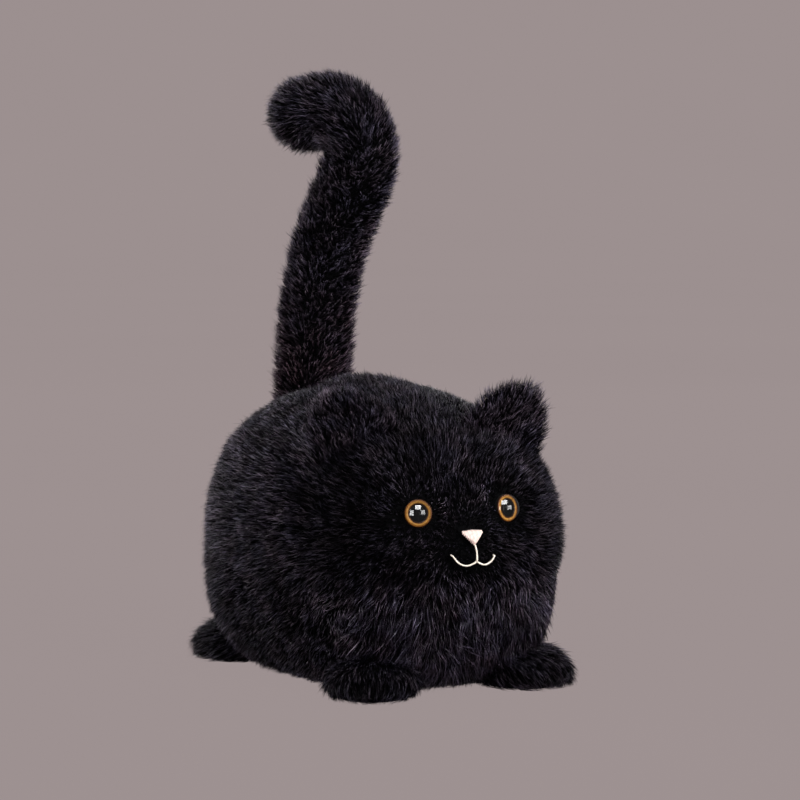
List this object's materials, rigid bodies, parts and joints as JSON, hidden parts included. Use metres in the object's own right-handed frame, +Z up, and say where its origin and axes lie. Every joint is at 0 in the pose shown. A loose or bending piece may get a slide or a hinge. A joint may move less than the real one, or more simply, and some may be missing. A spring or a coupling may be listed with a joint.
{
  "type": "plush cat",
  "caption": "Round-bodied long-pile plush cat sitting on stub feet, with a tall hooked tail, small ears, safety eyes and a stitched nose and mouth.",
  "frame": {"origin": "middle of the flat base panel that the cat sits on", "axes": "+Z up, -Y is the way the cat looks, +X is the cat's left side"},
  "size_m": [0.112, 0.1384, 0.2056],
  "materials": {
    "long_pile": "matte long pile",
    "short_pile": "matte short pile",
    "sole_cloth": "matte",
    "fibre_fill": "loose fibre",
    "pouch_cloth": "plain weave",
    "pellet_plastic": "matte",
    "pink_thread": "satin stitch",
    "cream_thread": "satin thread",
    "clear_plastic": "clear gloss",
    "amber_paint": "gloss",
    "black_plastic": "gloss",
    "white_plastic": "matte"
  },
  "bodies": {
    "body": {"base_panel": "sole_cloth", "chest_panel": "long_pile", "face_panel": "short_pile", "rump_panel": "long_pile", "back_gusset": "long_pile", "left_side_panel": "long_pile", "right_side_panel": "long_pile", "pellet_pouch": "pouch_cloth", "pellets": "pellet_plastic", "body_filling": "fibre_fill", "nose": "pink_thread", "mouth_centre": "cream_thread", "mouth_right": "cream_thread", "mouth_left": "cream_thread", "foot_front_right_upper": "long_pile", "foot_front_right_sole": "sole_cloth", "foot_front_right_filling": "fibre_fill", "foot_front_left_upper": "long_pile", "foot_front_left_sole": "sole_cloth", "foot_front_left_filling": "fibre_fill", "foot_rear_right_upper": "long_pile", "foot_rear_right_sole": "sole_cloth", "foot_rear_right_filling": "fibre_fill", "foot_rear_left_upper": "long_pile", "foot_rear_left_sole": "sole_cloth", "foot_rear_left_filling": "fibre_fill", "eye_right_dome": "clear_plastic", "eye_right_iris": "amber_paint", "eye_right_pupil": "black_plastic", "eye_right_post": "black_plastic", "eye_right_washer": "white_plastic", "eye_left_dome": "clear_plastic", "eye_left_iris": "amber_paint", "eye_left_pupil": "black_plastic", "eye_left_post": "black_plastic", "eye_left_washer": "white_plastic"},
    "right_ear": {"ear_right_front": "short_pile", "ear_right_back": "long_pile"},
    "left_ear": {"ear_left_front": "short_pile", "ear_left_back": "long_pile"},
    "tail_root": {"tail_root_wad": "fibre_fill"},
    "tail": {"tail_right_half": "long_pile", "tail_left_half": "long_pile", "tail_filling": "fibre_fill"},
    "tail_tip": {"tail_tip_right_half": "long_pile", "tail_tip_left_half": "long_pile", "tail_tip_filling": "fibre_fill"}
  },
  "joints": [
    {"name": "right_ear_bend", "type": "hinge", "parent": "body", "child": "right_ear", "pos_m": [-0.0272, -0.034, 0.0824], "axis": [-0.9162, 0.1032, -0.3871], "range_deg": [-35, 35], "stiffness_Nm_per_rad": 0.002},
    {"name": "left_ear_bend", "type": "hinge", "parent": "body", "child": "left_ear", "pos_m": [0.0272, -0.034, 0.0824], "axis": [-0.9162, -0.1032, 0.3871], "range_deg": [-35, 35], "stiffness_Nm_per_rad": 0.002},
    {"name": "tail_lean", "type": "hinge", "parent": "body", "child": "tail_root", "pos_m": [-0.0011, 0.05541, 0.0793], "axis": [1, 0, 0], "range_deg": [-18, 18], "stiffness_Nm_per_rad": 0.08},
    {"name": "tail_sway", "type": "hinge", "parent": "tail_root", "child": "tail", "pos_m": [-0.0011, 0.05541, 0.0793], "axis": [0, 1, 0], "range_deg": [-18, 18], "stiffness_Nm_per_rad": 0.08},
    {"name": "tail_tip_curl", "type": "hinge", "parent": "tail", "child": "tail_tip", "pos_m": [0.0086, 0.03861, 0.173], "axis": [0.866, 0.5, 0], "range_deg": [-20, 25], "stiffness_Nm_per_rad": 0.02}
  ]
}
